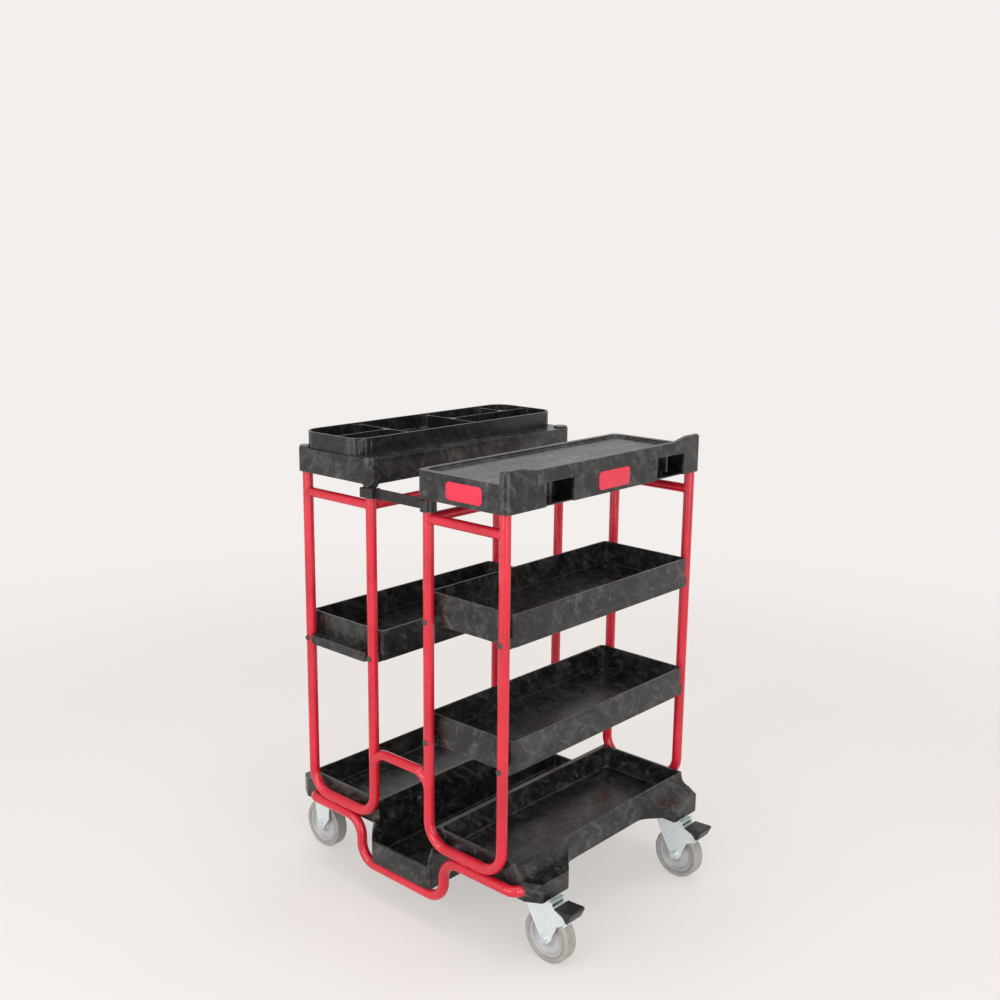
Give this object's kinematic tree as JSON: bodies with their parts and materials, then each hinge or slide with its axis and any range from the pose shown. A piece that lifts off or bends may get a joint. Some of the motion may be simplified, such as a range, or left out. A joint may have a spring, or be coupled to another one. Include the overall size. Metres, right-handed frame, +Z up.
{
  "type": "ladder and tool cart",
  "caption": "Wheeled maintenance cart: red tube frames with black tray shelves, a worktop and parts bins either side of an open ladder bay with a swing gate.",
  "frame": {"origin": "on the floor under the middle of the whole cart's box, brake pedals included", "axes": "+Z up; -Y is the front, where the ladder is loaded; +X is the side with the worktop; the ladder bay runs along Y at x = -0.008 m"},
  "size_m": [0.8775, 0.6916, 1.091],
  "materials": {
    "red_powder_coat": "gloss powder coat",
    "red_plate": "gloss",
    "grey_tyre": "satin grey thermoplastic rubber",
    "grey_wheel_core": "satin",
    "black_pedal": "satin",
    "zinc_plate": "bright zinc",
    "zinc_bolt": "bright zinc",
    "dark_bolt": "black oxide",
    "black_bin_plastic": "satin",
    "black_gate_plastic": "satin",
    "black_foam_plastic": "textured, swirled"
  },
  "bodies": {
    "frame": {"back_arch": "red_powder_coat", "back_base_tube": "red_powder_coat", "back_left_caster_plate": "zinc_plate", "back_left_loop": "red_powder_coat", "back_right_caster_plate": "zinc_plate", "back_right_loop": "red_powder_coat", "base_bolts": "dark_bolt", "caster_bolts": "zinc_bolt", "front_arch": "red_powder_coat", "front_base_tube": "red_powder_coat", "front_label_plate": "red_plate", "front_left_caster_plate": "zinc_plate", "front_left_loop": "red_powder_coat", "front_right_caster_plate": "zinc_plate", "front_right_loop": "red_powder_coat", "ladder_well": "black_foam_plastic", "left_base_tray": "black_foam_plastic", "left_bay_rail": "red_powder_coat", "left_cross_rails": "red_powder_coat", "left_deck": "black_foam_plastic", "left_shelf_bolts": "dark_bolt", "lower_right_shelf": "black_foam_plastic", "right_base_tray": "black_foam_plastic", "right_bay_rail": "red_powder_coat", "right_cross_rails": "red_powder_coat", "right_shelf_bolts": "dark_bolt", "side_label_plate": "red_plate", "tool_rack": "black_foam_plastic", "tool_shelf": "black_foam_plastic", "upper_right_shelf": "black_foam_plastic", "well_bolts": "dark_bolt", "worktop": "black_foam_plastic"},
    "front_left_caster_swivel": {"front_left_caster_fork": "zinc_plate", "front_left_caster_axle": "zinc_bolt"},
    "front_left_caster_wheel": {"front_left_caster_wheel": "grey_wheel_core", "front_left_caster_tyre": "grey_tyre"},
    "front_right_caster_swivel": {"front_right_caster_fork": "zinc_plate", "front_right_caster_axle": "zinc_bolt", "front_right_caster_brake_pin": "zinc_bolt"},
    "front_right_caster_wheel": {"front_right_caster_wheel": "grey_wheel_core", "front_right_caster_tyre": "grey_tyre"},
    "front_right_caster_pedal": {"front_right_caster_brake_lever": "zinc_plate", "front_right_caster_brake_pedal": "black_pedal"},
    "back_left_caster_swivel": {"back_left_caster_fork": "zinc_plate", "back_left_caster_axle": "zinc_bolt"},
    "back_left_caster_wheel": {"back_left_caster_wheel": "grey_wheel_core", "back_left_caster_tyre": "grey_tyre"},
    "back_right_caster_swivel": {"back_right_caster_fork": "zinc_plate", "back_right_caster_axle": "zinc_bolt", "back_right_caster_brake_pin": "zinc_bolt"},
    "back_right_caster_wheel": {"back_right_caster_wheel": "grey_wheel_core", "back_right_caster_tyre": "grey_tyre"},
    "back_right_caster_pedal": {"back_right_caster_brake_lever": "zinc_plate", "back_right_caster_brake_pedal": "black_pedal"},
    "gate": {"gate_bar": "black_gate_plastic"},
    "bin": {"parts_bin": "black_bin_plastic"}
  },
  "joints": [
    {"name": "front_left_caster_swivel", "type": "hinge", "parent": "frame", "child": "front_left_caster_swivel", "pos_m": [-0.354, -0.238, 0.15], "axis": [0, 0, 1], "continuous": true},
    {"name": "front_left_caster_roll", "type": "hinge", "parent": "front_left_caster_swivel", "child": "front_left_caster_wheel", "pos_m": [-0.38, -0.238, 0.06], "axis": [0, 1, 0], "continuous": true},
    {"name": "front_right_caster_swivel", "type": "hinge", "parent": "frame", "child": "front_right_caster_swivel", "pos_m": [0.338, -0.238, 0.15], "axis": [0, 0, 1], "continuous": true},
    {"name": "front_right_caster_roll", "type": "hinge", "parent": "front_right_caster_swivel", "child": "front_right_caster_wheel", "pos_m": [0.364, -0.238, 0.06], "axis": [0, 1, 0], "continuous": true},
    {"name": "front_right_caster_brake", "type": "hinge", "parent": "front_right_caster_swivel", "child": "front_right_caster_pedal", "pos_m": [0.408, -0.238, 0.118], "axis": [0, 1, 0], "range_deg": [0, 10]},
    {"name": "back_left_caster_swivel", "type": "hinge", "parent": "frame", "child": "back_left_caster_swivel", "pos_m": [-0.354, 0.254, 0.15], "axis": [0, 0, 1], "continuous": true},
    {"name": "back_left_caster_roll", "type": "hinge", "parent": "back_left_caster_swivel", "child": "back_left_caster_wheel", "pos_m": [-0.38, 0.254, 0.06], "axis": [0, 1, 0], "continuous": true},
    {"name": "back_right_caster_swivel", "type": "hinge", "parent": "frame", "child": "back_right_caster_swivel", "pos_m": [0.338, 0.254, 0.15], "axis": [0, 0, 1], "continuous": true},
    {"name": "back_right_caster_roll", "type": "hinge", "parent": "back_right_caster_swivel", "child": "back_right_caster_wheel", "pos_m": [0.364, 0.254, 0.06], "axis": [0, 1, 0], "continuous": true},
    {"name": "back_right_caster_brake", "type": "hinge", "parent": "back_right_caster_swivel", "child": "back_right_caster_pedal", "pos_m": [0.408, 0.254, 0.118], "axis": [0, 1, 0], "range_deg": [0, 10]},
    {"name": "gate_swing", "type": "hinge", "parent": "frame", "child": "gate", "pos_m": [0.082, -0.326, 0.9765], "axis": [0, 0, 1], "range_deg": [0, 125]},
    {"name": "bin_lift", "type": "slide", "parent": "frame", "child": "bin", "axis": [0, 0, 1], "range_m": [0, 0.12]}
  ]
}
